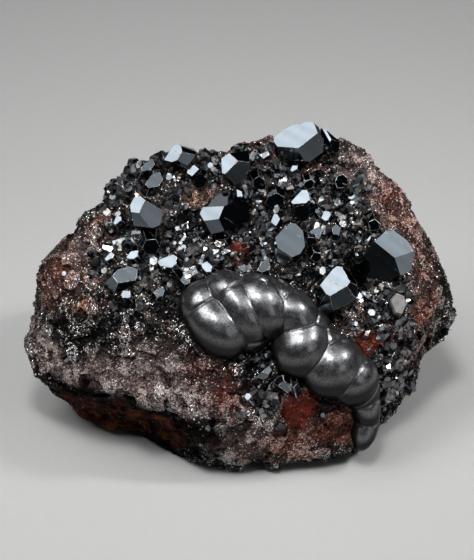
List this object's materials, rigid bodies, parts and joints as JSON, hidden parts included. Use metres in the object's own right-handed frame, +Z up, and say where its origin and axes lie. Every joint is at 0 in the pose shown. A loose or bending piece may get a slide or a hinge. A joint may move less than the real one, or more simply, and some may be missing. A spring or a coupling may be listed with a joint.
{
  "type": "hematite specimen",
  "caption": "Fist-sized lump of iron-stained rock with a curved band of shiny kidney ore across its front and bright black faceted hematite crystals on its sloping top.",
  "frame": {"origin": "on the surface that the lump rests on, below the middle of its bounding box", "axes": "+Z up, +X to the right of the picture and along the lump's length, -Y towards the viewer"},
  "size_m": [0.1022, 0.07, 0.0697],
  "materials": {
    "iron_stained_rock": "matte",
    "kidney_ore": "polished",
    "crystal_faces": "polished",
    "quartz": "satin"
  },
  "bodies": {
    "root": {"crystal_centre": "crystal_faces", "crystal_centre_b": "crystal_faces", "crystal_centre_d": "crystal_faces", "crystal_centre_e": "crystal_faces", "crystal_centre_f": "crystal_faces", "crystal_centre_g": "crystal_faces", "crystal_centre_h": "crystal_faces", "crystal_centre_left": "crystal_faces", "crystal_crown": "crystal_faces", "crystal_crown_companion": "crystal_faces", "crystal_front_a": "crystal_faces", "crystal_front_b": "crystal_faces", "crystal_front_d": "crystal_faces", "crystal_left_a": "crystal_faces", "crystal_left_b": "crystal_faces", "crystal_left_d": "crystal_faces", "crystal_left_e": "crystal_faces", "crystal_left_plate": "crystal_faces", "crystal_left_tip": "crystal_faces", "crystal_left_upper": "crystal_faces", "crystal_lower_right": "crystal_faces", "crystal_middle_a": "crystal_faces", "crystal_middle_c": "crystal_faces", "crystal_middle_e": "crystal_faces", "crystal_middle_f": "crystal_faces", "crystal_ridge_left": "crystal_faces", "crystal_ridge_middle": "crystal_faces", "crystal_right": "crystal_faces", "crystal_right_a": "crystal_faces", "crystal_slope_a": "crystal_faces", "crystal_upper_a": "crystal_faces", "crystal_upper_c": "crystal_faces", "crystal_upper_d": "crystal_faces", "crystal_upper_e": "crystal_faces", "crystal_upper_f": "crystal_faces", "crystal_upper_g": "crystal_faces", "kidney_ore": "kidney_ore", "matrix": "iron_stained_rock", "quartz_grain": "quartz"}
  },
  "joints": []
}
